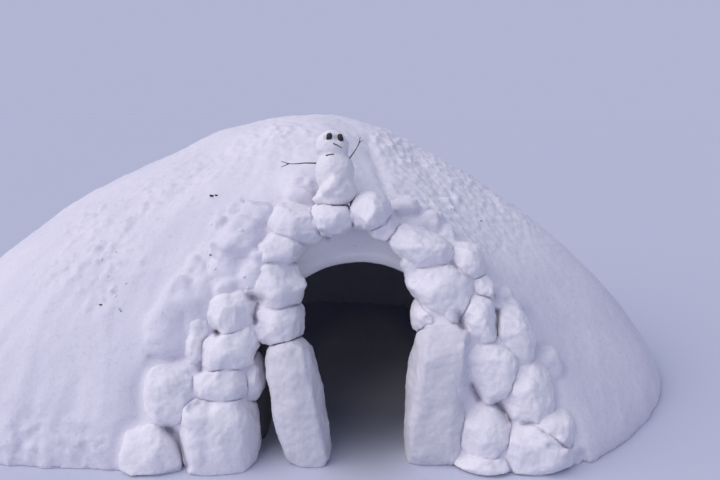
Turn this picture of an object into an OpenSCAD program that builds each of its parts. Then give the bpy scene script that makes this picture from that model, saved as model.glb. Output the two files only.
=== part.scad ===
// Snow mound shelter: a heaped and hollowed snow dome whose doorway is faced with an arch of snow lumps,
// with a small snow figure standing on the arch. The front faces -Y.

/* [Mound] */
// Height of the crown above the trodden floor
mound_h = 1790; // [1500:10:2100]
// Reach of the toe from the crown axis, to the right
toe_right = 2420; // [2150:10:2700]
// Reach of the toe, to the back right
toe_back_right = 2250; // [2050:10:2600]
// Reach of the toe, to the back
toe_back = 2250; // [2050:10:2600]
// Reach of the toe, to the back left
toe_back_left = 2600; // [2300:10:2900]
// Reach of the toe, to the left, where the slope is long
toe_left = 2850; // [2500:10:3200]
// Reach of the toe, to the front left
toe_front_left = 2500; // [2300:10:2700]
// Reach that the slope over the doorway would have, had its foot not been cut away
toe_front = 2250; // [2100:10:2500]
// Reach of the toe, to the front right
toe_front_right = 2150; // [2050:10:2400]
// Roundness of the slope: 1 is a cone, 2 an ellipse
slope_roundness = 1.5; // [1.4:0.05:1.8]
// Roundness of the slope on the right, which is straighter
right_roundness = 1.35; // [1.2:0.05:1.6]
// How much broader the crown is than the slope's own curve would make it
crown_breadth = 0.25; // [0.1:0.05:0.4]
// Height of the swells left by shovelling
swell = 30; // [0:5:50]
// How far the slope's foot draws in beside the doorway, on its left
foot_draw = 550; // [400:10:650]

/* [Hollow] */
// Height of the ceiling under the crown
cavity_h = 1300; // [1150:10:1350]
// Reach of the hollow to each side
cavity_side = 1550; // [1350:10:1650]
// Reach of the hollow to the back
cavity_back = 1450; // [1250:10:1550]
// Reach of the hollow towards the doorway
cavity_front = 850; // [750:10:950]
// Roundness of the ceiling
ceiling_roundness = 2.2; // [1.9:0.1:2.5]

/* [Doorway] */
// Doorway axis, to the right of the crown axis
door_offset = 280; // [200:10:360]
// Width of the passage dug through the front
opening_w = 1050; // [900:10:1150]
// Height of the passage at its arch
opening_h = 1000; // [900:10:1080]
// Distance from the crown axis to the foot of the cut face
face_setback = 1300; // [1250:10:1380]
// Lean of the cut face back from upright, in degrees
face_batter = 12; // [8:1:15]
// Reach of the pier left of the passage, from the doorway axis
pier_left = 980; // [940:10:1020]
// Reach of the pier right of the passage, from the doorway axis
pier_right = 840; // [800:10:880]

/* [Surround] */
// Clear width between the jambs of stacked lumps
clear_w = 600; // [560:10:640]
// Height at which the arch of lumps springs
spring_h = 800; // [750:10:850]
// Clear height under the arch of lumps
clear_h = 1130; // [1080:10:1180]
// Thickness of the facing
facing = 300; // [260:10:340]
// Width of half a lump, the unit in which the places and sizes of the lumps are given
lump_half_w = 100; // [90:1:110]
// Swelling of each lump before it is pressed flat against its neighbours
fill = 1.16; // [1.1:0.01:1.3]
// Roughness of the lumps, as a share of their radius
roughness = 0.1; // [0:0.01:0.15]
// Gap left at each bedding face
bed_gap = 0.3; // [0.1:0.1:0.6]

/* [Figure] */
// Place of the figure, to the left of the doorway axis
figure_offset = 140; // [110:10:170]
// Height of the middle of the figure's lowest ball above the clear doorway
figure_stand_h = 270; // [250:5:290]
// Width of the lowest ball
figure_base_w = 165; // [150:5:180]
// Height of the lowest ball
figure_base_h = 150; // [140:5:160]
// Width of the body
figure_body_w = 180; // [165:5:200]
// Height of the body
figure_body_h = 215; // [200:5:230]
// Width of the head
figure_head_w = 155; // [140:5:170]
// Height of the head
figure_head_h = 145; // [135:5:155]
// Room cut for the figure, beyond each end of its arms, where the slope is steep enough to reach it
figure_room = 30; // [10:5:60]
// Diameter of the pebble eyes
eye_d = 32; // [26:1:36]
// Distance between the eyes
eye_spacing = 56; // [50:1:64]
// Thickness of the twigs
twig_d = 5; // [4:0.5:7]
// Length of the left arm out of the snow
left_arm = 135; // [110:5:160]
// Length of the right arm out of the snow
right_arm = 105; // [90:5:130]
// Length of the twigs at the end of each arm
fork = 25; // [18:1:32]

/* [Hidden] */

// The heaped form, in polar terms about the crown axis
ring_step = 8;                  // degrees of the profile's parameter between rings
crown_ring = 64;                // parameter at which the crown piece begins
flank_names = ["right_flank", "back_right_flank", "back_flank", "back_left_flank", "left_flank"];
steps_per_flank = 10;
steps_over_face = 16;
toes = [toe_right, toe_back_right, toe_back, toe_back_left, toe_left, toe_front_left, toe_front, toe_front_right];
toe_sector = 360 / len(toes);

// The cut face, and the upright planes through the crown axis where the piers meet the flanks
angle_left = 360 + atan2(-face_setback, door_offset - pier_left);
angle_right = 360 + atan2(-face_setback, door_offset + pier_right);
flank_span = (360 - (angle_right - angle_left)) / len(flank_names);
face_normal = [0, -cos(face_batter), sin(face_batter)];
function on_face(x, z) = [x, -face_setback + z * tan(face_batter), z];

// The slope's foot beside the doorway
draw_middle = angle_left;       // where the foot draws in most
draw_spread = 38;               // degrees to each side of that over which it does
draw_top = 57;                  // profile parameter above which it doesn't

// The passage
opening_r = opening_w / 2;
opening_spring = opening_h - opening_r;
vault_half_angle = 45;
beyond = 2 * face_setback;      // reaches past the front from the crown axis
below = face_setback / 2;       // reaches past the floor

function cubic(a, b, c, d, t) =
    b + t * (c - a + t * (2 * a - 5 * b + 4 * c - d + t * (3 * (b - c) + d - a))) / 2;
function toe_reach(angle) =
    let (place = (angle % 360) / toe_sector, i = floor(place), n = len(toes))
    cubic(toes[(i + n - 1) % n], toes[i % n], toes[(i + 1) % n], toes[(i + 2) % n], place - i);
function swell_at(angle, t) =
    swell * sin(2 * t) * (sin(3 * angle + 40) + sin(5 * angle + 3 * t) + sin(9 * angle - 4 * t)) / 2;
function draw_at(angle, t) =
    let (away = abs((angle % 360) - draw_middle))
    away > draw_spread ? 0 : foot_draw * (1 + cos(180 * away / draw_spread)) / 2 * max(0, cos(90 * t / draw_top));

function roundness_at(angle) = slope_roundness + (right_roundness - slope_roundness) * max(0, cos(angle));
// How much broader than its own curve the slope is, near the crown
function breadth_at(t) = 1 + crown_breadth * sin(180 * max(0, t - crown_ring) / (90 - crown_ring));

// A point of the outer surface as [reach, height], for a profile parameter from 0 at the toe to 90 at the crown
function slope_at(angle, t) =
    let (power = 2 / roundness_at(angle), rise = swell_at(angle, t))
    [breadth_at(t) * toe_reach(angle) * pow(cos(t), power) + rise * cos(t) - draw_at(angle, t),
     mound_h * pow(sin(t), power) + rise * sin(t)];
// A point of the ceiling, likewise
function ceiling_at(angle, t) =
    let (depth = sin(angle) < 0 ? cavity_front : cavity_back,
         reach = 1 / norm([cos(angle) / cavity_side, sin(angle) / depth]))
    [reach * pow(cos(t), 2 / ceiling_roundness), cavity_h * pow(sin(t), 2 / ceiling_roundness)];
function turned(point, angle) = [point.x * cos(angle), point.x * sin(angle), point.y];

// The crown axis is placed so that the footprint's box is centred on the origin. In front, the box ends at the
// lumps of the facing, the boldest of which stands out by a fifth more than the facing's thickness.
rim = [for (a = [angle_right : 2 : angle_left + 360]) turned(slope_at(a, 0), a)];
rim_x = [for (p = rim) p.x];
rim_y = [for (p = rim) p.y];
front = -face_setback - 1.2 * facing;
crown_axis = -[min(rim_x) + max(rim_x), front + max(rim_y), 0] / 2;

function fan_angles(from, span, steps) = [for (i = [0 : steps]) from + span * i / steps];
flank_rings = [for (t = [0 : ring_step : crown_ring]) t];
crown_rings = [for (t = [crown_ring : ring_step : 90 - ring_step / 2]) t];

// Faces of a block whose points are stacked as outer rings, then inner rings, each ring a fan of angles
function strip(a, b, n) = [for (i = [0 : n - 1]) each [[a + i, b + i, b + i + 1], [a + i, b + i + 1, a + i + 1]]];
function reversed(faces) = [for (f = faces) [f[2], f[1], f[0]]];

// A wall block between two upright planes through the crown axis
module wall_block(angles) {
    n = len(angles) - 1;
    rings = len(flank_rings);
    size = n + 1;
    points = [
        for (t = flank_rings) for (a = angles) turned(slope_at(a, t), a),
        for (t = flank_rings) for (a = angles) turned(ceiling_at(a, t), a)
    ];
    inner = rings * size;
    outside = [for (j = [0 : rings - 2]) each strip(j * size, (j + 1) * size, n)];
    inside = [for (j = [0 : rings - 2]) each strip(inner + j * size, inner + (j + 1) * size, n)];
    top = strip((rings - 1) * size, inner + (rings - 1) * size, n);
    bottom = strip(0, inner, n);
    start = [for (j = [0 : rings - 2]) each
        [[j * size, inner + j * size, (j + 1) * size],
         [inner + j * size, inner + (j + 1) * size, (j + 1) * size]]];
    end = [for (f = start) [f[2] + n, f[1] + n, f[0] + n]];
    polyhedron(points, concat(outside, reversed(inside), top, reversed(bottom), start, end));
}

// The cap over the wall blocks
module crown() {
    over_face = fan_angles(angle_left, angle_right - angle_left, steps_over_face);
    round_back = fan_angles(angle_right, 360 - (angle_right - angle_left), steps_per_flank * len(flank_names));
    angles = concat(over_face, [for (i = [1 : len(round_back) - 2]) round_back[i]]);
    n = len(angles);
    rings = len(crown_rings);
    points = [
        for (t = crown_rings) for (a = angles) turned(slope_at(a, t), a),
        for (t = crown_rings) for (a = angles) turned(ceiling_at(a, t), a),
        [0, 0, mound_h],
        [0, 0, cavity_h]
    ];
    inner = rings * n;
    function band(a, b) = [for (i = [0 : n - 1]) let (k = (i + 1) % n)
        each [[a + i, b + i, b + k], [a + i, b + k, a + k]]];
    outside = [for (j = [0 : rings - 2]) each band(j * n, (j + 1) * n)];
    inside = [for (j = [0 : rings - 2]) each band(inner + j * n, inner + (j + 1) * n)];
    cap = [for (i = [0 : n - 1]) [(rings - 1) * n + i, 2 * inner, (rings - 1) * n + (i + 1) % n]];
    ceiling = [for (i = [0 : n - 1]) [inner + (rings - 1) * n + (i + 1) % n, 2 * inner + 1,
                                      inner + (rings - 1) * n + i]];
    color("snow")
        polyhedron(points, concat(outside, reversed(inside), cap, ceiling, reversed(band(0, inner))));
}

module flank(i) {
    color("snow")
        difference() {
            wall_block(fan_angles(angle_right + i * flank_span, flank_span, steps_per_flank));
            recess();
            passage();
        }
}

// The front block, between the flanks
module front_block() {
    difference() {
        wall_block(fan_angles(angle_left, angle_right - angle_left, steps_over_face));
        recess();
    }
}

// The recess for the facing and the figure is cut square to the leaning face
module recess() {
    reach = figure_body_w / 2 + fork + figure_room;
    translate(on_face(0, 0))
        rotate([90 - face_batter, 0, 0])
            linear_extrude(beyond)
                union() {
                    polygon(concat([[recess_outline[len(recess_outline) - 1].x, -below]],
                                   [[recess_outline[0].x, -below]],
                                   [for (p = recess_outline) [p.x, p.y / cos(face_batter)]]));
                    translate([door_offset - figure_offset - left_arm - reach, 0])
                        square([left_arm + right_arm + 2 * reach, (clear_h + head_rise + figure_head_h)]);
                }
}

module passage() {
    translate([door_offset, 0, 0])
        rotate([90, 0, 0])
            linear_extrude(beyond)
                union() {
                    translate([0, opening_spring]) circle(opening_r, $fn = 72);
                    translate([-opening_r, 0]) square([opening_w, opening_spring]);
                }
}

// The wedge of snow that arches over the passage
module vault_wedge() {
    side = 2 * mound_h;
    translate([door_offset, 0, opening_spring])
        rotate([90, 0, 0])
            linear_extrude(beyond)
                polygon([[0, 0], side * [sin(vault_half_angle), cos(vault_half_angle)],
                         side * [-sin(vault_half_angle), cos(vault_half_angle)]]);
}

module half_space(side) {
    translate([door_offset + (side < 0 ? -beyond : 0), -beyond, 0]) cube([beyond, beyond, mound_h]);
}

module entrance_vault() {
    color("snow")
        difference() {
            intersection() {
                front_block();
                vault_wedge();
            }
            passage();
        }
}

module pier(side) {
    color("snow")
        difference() {
            intersection() {
                front_block();
                half_space(side);
            }
            vault_wedge();
            passage();
        }
}

// The line of the clear doorway. Station -2 is the left foot, -1 the left springing, 0 the top of the arch,
// 1 the right springing and 2 the right foot. The second value is the distance outwards from that line.
function on_surround(station, out) =
    let (side = sign(station), a = 90 * station)
    abs(station) > 1
        ? [door_offset + side * (clear_w / 2 + out), spring_h * (2 - abs(station))]
        : [door_offset + sin(a) * (clear_w / 2 + out), spring_h + cos(a) * (clear_h - spring_h + out)];

// Outline of the recess, from the left foot over the arch to the right foot, as [station, distance out], with
// the distance in half lumps
recess_outline = [for (p = [[-2, 9.4], [-1.56, 8.6], [-1.25, 7.15], [-0.96, 5.45], [-0.62, 3.85], [-0.36, 3.35],
                            [0, 3.2], [0.22, 3.2], [0.5, 3.65], [0.74, 4.1], [1.06, 5.8], [1.44, 7.2], [2, 8.5]])
    on_surround(p[0], p[1] * lump_half_w)];

// Each lump: name, station, distance out and [width, height] in half lumps, tilt in the face, squareness,
// thickness as a share of the facing
lumps = [
    ["left_jamb_slab",       -1.67,  0.2, [2.25,  6.3],  10, 4.5, 1.0],
    ["left_jamb_lump",       -1.10,  1.3, [2.25,  1.9],   0, 2.4, 1.0],
    ["left_haunch_lump",     -0.86, 1.65, [ 2.6,  2.7],   0, 2.2, 1.05],
    ["arch_lump_left",       -0.65,  2.2, [ 2.5, 1.55],   4, 2.8, 1.0],
    ["arch_lump_upper_left", -0.46,  2.2, [2.65,  1.8], -22, 2.4, 0.95],
    ["arch_lump_top_left",   -0.22, 1.55, [ 1.9, 1.65],   0, 2.4, 1.0],
    ["arch_keystone",         0.08, 1.65, [ 1.9,  1.8],   0, 2.4, 1.1],
    ["arch_lump_top_right",   0.20, 0.95, [1.45, 1.25],   0, 2.3, 0.9],
    ["arch_lump_right",       0.55, 1.35, [2.95,  1.7], -20, 2.5, 1.1],
    ["right_haunch_lump",     0.92,  1.3, [3.55, 3.75],  20, 2.3, 1.1],
    ["right_jamb_cap",        1.07,  0.5, [ 1.4,  1.6],   0, 2.5, 0.95],
    ["right_jamb_slab",       1.58, 1.05, [2.65,  6.7],  -4, 5.0, 1.05],
    ["left_base_block",      -1.84, 4.45, [ 3.4,  4.0],   0, 4.2, 1.1],
    ["left_stack_low",       -1.48,  4.3, [ 2.5,  1.9],   8, 2.4, 1.1],
    ["left_stack_mid",       -1.28, 3.85, [ 2.7, 2.15],  20, 2.6, 1.1],
    ["left_stack_high",      -1.03, 3.75, [2.35,  2.3],   0, 2.3, 1.1],
    ["left_edge_high",       -1.24,  5.4, [ 1.5, 2.25],   0, 2.5, 0.95],
    ["left_edge_low",        -1.57,  6.9, [2.65,  3.3],   0, 2.6, 1.05],
    ["left_corner_block",    -1.96,  8.0, [ 3.4,  3.4],   0, 2.8, 1.1],
    ["left_filler",          -1.47,  2.8, [1.15,  2.1],   0, 2.8, 0.8],
    ["right_shoulder_high",   0.77,  3.0, [ 1.8, 1.75],   0, 2.5, 0.95],
    ["right_shoulder_low",    0.93, 3.45, [ 1.3,  1.5],   0, 2.5, 0.95],
    ["right_stack_top",       1.09, 3.35, [ 1.6,  2.5],  22, 2.6, 1.1],
    ["right_stack_high",      1.39, 3.95, [ 2.4,  3.2],   0, 2.4, 1.1],
    ["right_stack_low",       1.79, 3.55, [2.45,  2.5],   0, 2.3, 1.1],
    ["right_stack_foot",      1.99, 3.45, [ 2.5,  1.2],   0, 3.0, 1.1],
    ["right_edge_top",        1.22, 4.85, [ 2.4,  3.1],   0, 2.5, 1.0],
    ["right_edge_mid",        1.57, 5.75, [ 2.5,  3.0],   0, 2.5, 1.05],
    ["right_base_block",      1.91,  6.1, [ 3.5,  3.1],   0, 2.8, 1.15],
    ["right_edge_foot",       1.82,  7.2, [ 1.8,  1.2],   0, 2.5, 1.05]
];

// The figure's balls, stacked on the arch and sunk into each other: name, shift to the right, height of the
// centre above the clear doorway, width, height
base_lean = figure_base_w / 6;
body_lean = figure_body_w / 36;
body_rise = figure_stand_h + (figure_base_h + figure_body_h) / 4;
head_rise = body_rise + (figure_body_h + figure_head_h) * 0.39;
figure_balls = [
    ["figure_base", base_lean, figure_stand_h, figure_base_w, figure_base_h],
    ["figure_body", body_lean, body_rise, figure_body_w, figure_body_h],
    ["figure_head", body_lean, head_rise, figure_head_w, figure_head_h]
];
figure_depth = 0.55;            // the balls stand this share of the facing's thickness in front of the face
hand_pressed = 0.3;             // share of the lumps' roughness that the balls have

// A lump's centre stands so far in front of the face that its back is pressed flat against it
function before_face(x, z, distance) =
    [x, -face_setback + z * tan(face_batter) - distance / cos(face_batter), z];
function lump_body(row) =
    let (place = on_surround(row[1], row[2] * lump_half_w), size = row[3] * lump_half_w, thick = facing * row[6])
    [before_face(place.x, place.y, thick * 0.45), fill * [size.x, thick, size.y] / 2, row[4], row[5]];
function ball_body(row) =
    [before_face(door_offset - figure_offset + row[1], clear_h + row[2], facing * figure_depth),
     fill * [row[3], row[3], row[4]] / 2, 0, 2.1];
bodies = concat([for (row = lumps) lump_body(row)], [for (row = figure_balls) ball_body(row)]);
body_names = concat([for (row = lumps) row[0]], [for (row = figure_balls) row[0]]);

// Distance from a body's centre to its plain surface along a unit vector
function body_reach(body, u) =
    let (a = body[2], m = body[3], half = body[1],
         v = [u.x * cos(a) + u.z * sin(a), u.y, u.z * cos(a) - u.x * sin(a)])
    1 / pow(pow(abs(v.x) / half.x, m) + pow(abs(v.y) / half.y, m) + pow(abs(v.z) / half.z, m), 1 / m);
// The point nearest to another on a long body's middle line, which ends half a width short of its ends
function on_middle(body, point) =
    let (a = body[2], spare = body[1].x - body[1].z, way = spare > 0 ? [cos(a), 0, sin(a)] : [-sin(a), 0, cos(a)])
    body[0] + way * max(-abs(spare), min(abs(spare), (point - body[0]) * way));
// Distance from that line to the body's surface
function girth(body, u) =
    let (half = min(body[1].x, body[1].z))
    body_reach([body[0], [half, body[1].y, half], body[2], body[3]], u);
// The plane on which two bodies meet, as [unit normal out of the first, distance from its centre]
function meeting_plane(one, other) =
    let (from = on_middle(one, on_middle(other, on_middle(one, other[0]))), to = on_middle(other, from),
         way = to - from, u = way / norm(way), a = girth(one, u), b = girth(other, -u))
    [u, (from - one[0]) * u + norm(way) * a / (a + b) - bed_gap / 2];
function turned_over(plane, one, other) =
    [-plane[0], (other[0] - one[0]) * plane[0] - plane[1] - bed_gap];
// A fixed plane that a body lies in front of
function rest_plane(body, point, normal) = [-normal, (body[0] - point) * normal - bed_gap / 2];
function planes_of(i) = [
    for (j = [0 : len(bodies) - 1]) if (j != i)
        i < j ? meeting_plane(bodies[i], bodies[j])
              : turned_over(meeting_plane(bodies[j], bodies[i]), bodies[j], bodies[i]),
    rest_plane(bodies[i], on_face(0, 0), face_normal),
    if (i < len(lumps)) for (k = [0 : len(recess_outline) - 2])
        let (a = on_face(recess_outline[k].x, recess_outline[k].y),
             b = on_face(recess_outline[k + 1].x, recess_outline[k + 1].y),
             inward = cross(b - a, face_normal))
        rest_plane(bodies[i], a, inward / norm(inward)),
    [[0, 0, -1], bodies[i][0].z]
];

// Directions spread evenly over a sphere
lump_corners = 150;
golden_turn = 180 * (3 - sqrt(5));
directions = [for (k = [0 : lump_corners - 1])
    let (z = 1 - (2 * k + 1) / lump_corners, r = sqrt(1 - z * z), a = k * golden_turn) [r * cos(a), r * sin(a), z]];

// The same for a long or flat body, whose ends get their share of corners
function direction_in(body, u) =
    let (a = body[2], half = body[1], v = [u.x * half.x, u.y * half.y, u.z * half.z], w = v / norm(v))
    [w.x * cos(a) - w.z * sin(a), w.y, w.x * sin(a) + w.z * cos(a)];
function clipped(reach, u, planes) =
    min([reach, for (p = planes) if (u * p[0] > 0.001) p[1] / (u * p[0])]);

// A lump pressed flat where it meets its neighbours, the sides of the recess and the floor
module lump(name) {
    i = search([name], body_names)[0];
    planes = planes_of(i);
    uneven = i < len(lumps) ? roughness : roughness * hand_pressed;
    rough = rands(1 - uneven, 1 + uneven, lump_corners, i + 1);
    corners = [for (k = [0 : lump_corners - 1])
        let (u = direction_in(bodies[i], directions[k]))
        bodies[i][0] + u * clipped(body_reach(bodies[i], u) * rough[k], u, planes)];
    hull() polyhedron(corners, [[for (k = [0 : lump_corners - 1]) k]]);
}

module placed_lump(name) {
    color("snow") lump(name);
}

// The figure's face: two pebbles for eyes and a twig for a mouth, each set in the snow of the head
head = ball_body(figure_balls[2]);
torso = ball_body(figure_balls[1]);
eye_height = 46;                // above the head's centre
mouth_shift = 25;               // to the right of the head's centre
mouth_drop = 1;                 // below the head's centre
mouth_l = 45;
mouth_slope = 30;
// Point on the front of the head, beside and above its centre
function on_head(x, z) =
    let (half = head[1], m = head[3],
         y = half.y * pow(1 - pow(abs(x) / half.x, m) - pow(abs(z) / half.z, m), 1 / m))
    head[0] + [x, -y, z];
module eyes(gap) {
    for (side = [-1, 1])
        translate(on_head(side * eye_spacing / 2, eye_height) + [0, eye_d * 0.2, 0])
            sphere(d = eye_d + 2 * gap, $fn = 32);
}
module mouth(gap) {
    translate(on_head(mouth_shift, -mouth_drop))
        rotate([0, 90 + mouth_slope, 0])
            cylinder(d = twig_d + 2 * gap, h = mouth_l + 2 * gap, center = true, $fn = 24);
}
module figure_eyes() {
    color("dimgray") eyes(0);
}
module figure_mouth() {
    color("saddlebrown") mouth(0);
}

// A straight twig between two points, with a knot at its far end
module twig(from, to, d) {
    way = to - from;
    translate(from)
        rotate([0, acos(way.z / norm(way)), atan2(way.y, way.x)])
            cylinder(d = d, h = norm(way), $fn = 24);
    translate(to) sphere(d = 1.3 * d, $fn = 24);
}
arm_root = 40;                  // length of each arm inside the body
left_shoulder = torso[0] + [-torso[1].x + arm_root, -10, 46];
right_shoulder = torso[0] + [torso[1].x - arm_root, -10, 40];
left_hand = left_shoulder + [-arm_root - left_arm, 0, 2];
right_hand = right_shoulder + (arm_root + right_arm) * [0.55, 0, 0.83];
module arms(gap) {
    twig(left_shoulder, left_hand, twig_d + 2 * gap);
    twig(left_hand, left_hand + fork * [-0.85, 0, 0.5], twig_d * 0.8);
    twig(left_hand, left_hand + fork * [-0.9, 0, -0.45], twig_d * 0.8);
    twig(right_shoulder, right_hand, twig_d + 2 * gap);
    twig(right_hand, right_hand + fork * [0.25, 0, 0.95], twig_d * 0.8);
    twig(right_hand, right_hand + fork * [0.8, 0, 0.5], twig_d * 0.8);
}
module figure_arms() {
    color("saddlebrown") arms(0);
}
module figure_head() {
    color("snow")
        difference() {
            lump("figure_head");
            eyes(bed_gap);
            mouth(bed_gap);
        }
}
module figure_body() {
    color("snow")
        difference() {
            lump("figure_body");
            arms(bed_gap);
        }
}

translate(crown_axis) {
    crown();
    for (i = [0 : len(flank_names) - 1])
        flank(i);
    pier(-1);  // left_pier
    pier(1);  // right_pier
    entrance_vault();
    for (row = lumps)
        placed_lump(row[0]);
    placed_lump("figure_base");  // figure_base
    figure_body();
    figure_head();
    figure_eyes();
    figure_mouth();
    figure_arms();
}
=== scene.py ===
import bmesh
import bpy
import math
import numpy as np
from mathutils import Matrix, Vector
from mathutils.bvhtree import BVHTree


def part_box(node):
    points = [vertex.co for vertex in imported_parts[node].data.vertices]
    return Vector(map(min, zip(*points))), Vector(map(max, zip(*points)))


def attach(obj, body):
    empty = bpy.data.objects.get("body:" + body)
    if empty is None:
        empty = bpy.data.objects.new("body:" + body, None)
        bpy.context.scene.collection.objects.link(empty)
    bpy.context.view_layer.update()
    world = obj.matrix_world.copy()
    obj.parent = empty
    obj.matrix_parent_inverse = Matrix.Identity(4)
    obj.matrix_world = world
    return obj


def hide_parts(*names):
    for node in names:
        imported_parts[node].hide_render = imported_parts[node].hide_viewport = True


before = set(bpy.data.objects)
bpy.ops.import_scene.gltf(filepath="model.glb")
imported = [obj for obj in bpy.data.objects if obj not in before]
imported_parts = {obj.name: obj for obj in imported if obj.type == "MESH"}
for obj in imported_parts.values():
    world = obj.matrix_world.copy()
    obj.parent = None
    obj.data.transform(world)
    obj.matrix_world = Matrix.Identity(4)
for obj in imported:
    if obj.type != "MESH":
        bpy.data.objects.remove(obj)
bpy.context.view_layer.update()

# ---- the part's own values, in metres, in the frame of the part
CROWN = np.array([0.2149, -0.3055, 0.0])
DOOR_X = CROWN[0] + 0.280
FACE_Y, FACE_LEAN = CROWN[1] - 1.300, math.tan(math.radians(12))
FACE_LEFT, FACE_RIGHT, FACE_TOP = -1.30, 1.02, 1.52     # the cut face's edges, from the door's axis and the floor
PASSAGE_W, PASSAGE_H = 1.05, 1.00
SPRING_H = PASSAGE_H - PASSAGE_W / 2                    # where the passage's round top begins
HOLLOW_SIDE, HOLLOW_BACK, HOLLOW_FRONT, HOLLOW_H = 1.55, 1.45, 0.85, 1.30
HOLLOW_POWER, HOLLOW_MARGIN = 2.2, 1.12                 # how boxy the hollow is, and how far its wall counts as it

MOUND = ["crown", "right_flank", "back_right_flank", "back_flank", "back_left_flank", "left_flank",
         "left_pier", "right_pier", "entrance_vault"]
FIGURE = ["figure_base", "figure_body", "figure_head", "figure_eyes", "figure_mouth", "figure_arms"]
LUMPS = sorted(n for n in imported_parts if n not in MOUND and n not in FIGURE)

# ---- camera: the photograph's, 34 mm, level across, tipped 11.3 degrees down
PHOTO_W, PHOTO_H = 720, 480
FOCAL, SENSOR, TIP = 34.0, 36.0, math.radians(11.3)
EYE_BACK, EYE_HEIGHT = 4.77, 1.85                       # before the crown, and over the floor
EYE = Vector((DOOR_X, CROWN[1] - EYE_BACK, EYE_HEIGHT))
camera = bpy.data.objects.new("camera", bpy.data.cameras.new("camera"))
camera.data.lens, camera.data.sensor_width = FOCAL, SENSOR
camera.location = EYE
camera.rotation_euler = (math.radians(90) - TIP, 0, 0)
bpy.context.scene.collection.objects.link(camera)
bpy.context.scene.camera = camera


def sight(px, py):
    """The direction from the camera through a pixel of the 720 x 480 photograph."""
    f = FOCAL / SENSOR * PHOTO_W
    x, y = (px - PHOTO_W / 2) / f, (PHOTO_H / 2 - py) / f
    return Vector((x, math.cos(TIP) + y * math.sin(TIP), y * math.cos(TIP) - math.sin(TIP))).normalized()


def seen_at(px, py, y):
    """The point that shows at a pixel and lies in the upright plane at y."""
    way = sight(px, py)
    return np.array(EYE + way * ((y - EYE.y) / way.y))


# ---- noise
STIR = (374761393, 668265263, 2246822519, 3266489917)   # large primes that mix up the bits
TEN_BITS, SEED_STEP = 1023, 17                          # a mask, and the step between the layers' seeds
FAR = 9.0                                               # further than anything of the shelter


def hashed(i, seed):
    """A patternless number for each corner of a grid."""
    h = (i[:, 0].astype(np.uint32) * np.uint32(STIR[0])) ^ (i[:, 1].astype(np.uint32) * np.uint32(STIR[1]))
    h = h ^ (i[:, 2].astype(np.uint32) * np.uint32(STIR[2])) ^ np.uint32((seed * STIR[3]) & 0xFFFFFFFF)
    for shift, factor in ((15, STIR[2]), (13, STIR[3])):
        h = (h ^ (h >> np.uint32(shift))) * np.uint32(factor)
    return h ^ (h >> np.uint32(16))


def noise(p, size, seed=0):
    """Smooth noise of about -1 to 1 at the points p, with features of that size."""
    q = p / size
    base = np.floor(q).astype(np.int64)
    f = q - base
    fade = f * f * f * (f * (f * 6 - 15) + 10)
    total = np.zeros(len(p))
    for corner in np.ndindex(2, 2, 2):
        corner = np.array(corner)
        h = hashed(base + corner, seed)
        g = np.stack([(h >> np.uint32(shift)) & TEN_BITS for shift in (0, 10, 20)], 1) / (TEN_BITS / 2) - 1
        w = np.prod(np.where(corner == 1, fade, 1 - fade), 1)
        total += w * np.einsum("ij,ij->i", g, f - corner)
    return total * 1.5


def layered(p, size, layers=3, gain=0.5, seed=0, fold=False):
    """Noise over several sizes. Folded, it has rounded heaps with creases between them."""
    total, amplitude, weight = np.zeros(len(p)), 1.0, 0.0
    for k in range(layers):
        n = noise(p, size / 2 ** k, seed + SEED_STEP * k)
        total += amplitude * (np.abs(n) * 2 - 0.5 if fold else n)
        weight += amplitude
        amplitude *= gain
    return total / weight


def step(a, b, x):
    """Rises smoothly from 0 at a to 1 at b, or falls where a is the larger."""
    t = np.clip((x - a) / (b - a), 0, 1)
    return t * t * (3 - 2 * t)


# ---- meshes
def arrays(mesh):
    """The mesh's points and edges."""
    co = np.empty(len(mesh.vertices) * 3)
    mesh.vertices.foreach_get("co", co)
    edges = np.empty(len(mesh.edges) * 2, np.int32)
    mesh.edges.foreach_get("vertices", edges)
    return co.reshape(-1, 3), edges.reshape(-1, 2)


def normals(mesh):
    """The surface's direction at each of the mesh's points."""
    n = np.empty(len(mesh.vertices) * 3, np.float32)
    mesh.vertex_normals.foreach_get("vector", n)
    return n.reshape(-1, 3).astype(float)


def place(mesh, co):
    """Moves the mesh's points."""
    mesh.vertices.foreach_set("co", co.ravel())
    mesh.update()


def triangles_of(name):
    """A CAD node as its corner points and faces."""
    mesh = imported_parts[name].data
    return arrays(mesh)[0], [tuple(p.vertices) for p in mesh.polygons]


def chained(parts):
    """Several lists of points and faces as one."""
    points, faces, start = [], [], 0
    for co, fs in parts:
        points.append(np.asarray(co))
        faces += [tuple(start + v for v in f) for f in fs]
        start += len(co)
    return np.concatenate(points).tolist(), faces


def joined(parts):
    """One mesh from several lists of points and faces."""
    points, faces = chained(parts)
    mesh = bpy.data.meshes.new("joined")
    mesh.from_pydata(points, [], faces)
    return mesh


def piece(name, mesh, slot, material, *nodes):
    """A finished piece of the visual model, joined to the root body, with the CAD nodes named hidden."""
    obj = bpy.data.objects.new(name, mesh)
    bpy.context.scene.collection.objects.link(obj)
    mesh.name = name
    mesh.materials.clear()
    mesh.materials.append(material)
    mesh.polygons.foreach_set("use_smooth", [True] * len(mesh.polygons))
    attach(obj, "root")
    if nodes:
        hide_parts(*nodes)
    return obj


def modified(mesh, kind, **settings):
    """The mesh after one modifier. The mesh given is used up."""
    obj = bpy.data.objects.new("work", mesh)
    bpy.context.scene.collection.objects.link(obj)
    modifier = obj.modifiers.new("work", kind)
    for setting, value in settings.items():
        setattr(modifier, setting, value)
    result = bpy.data.meshes.new_from_object(obj.evaluated_get(bpy.context.evaluated_depsgraph_get()))
    bpy.data.objects.remove(obj)
    bpy.data.meshes.remove(mesh)
    return result


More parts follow.
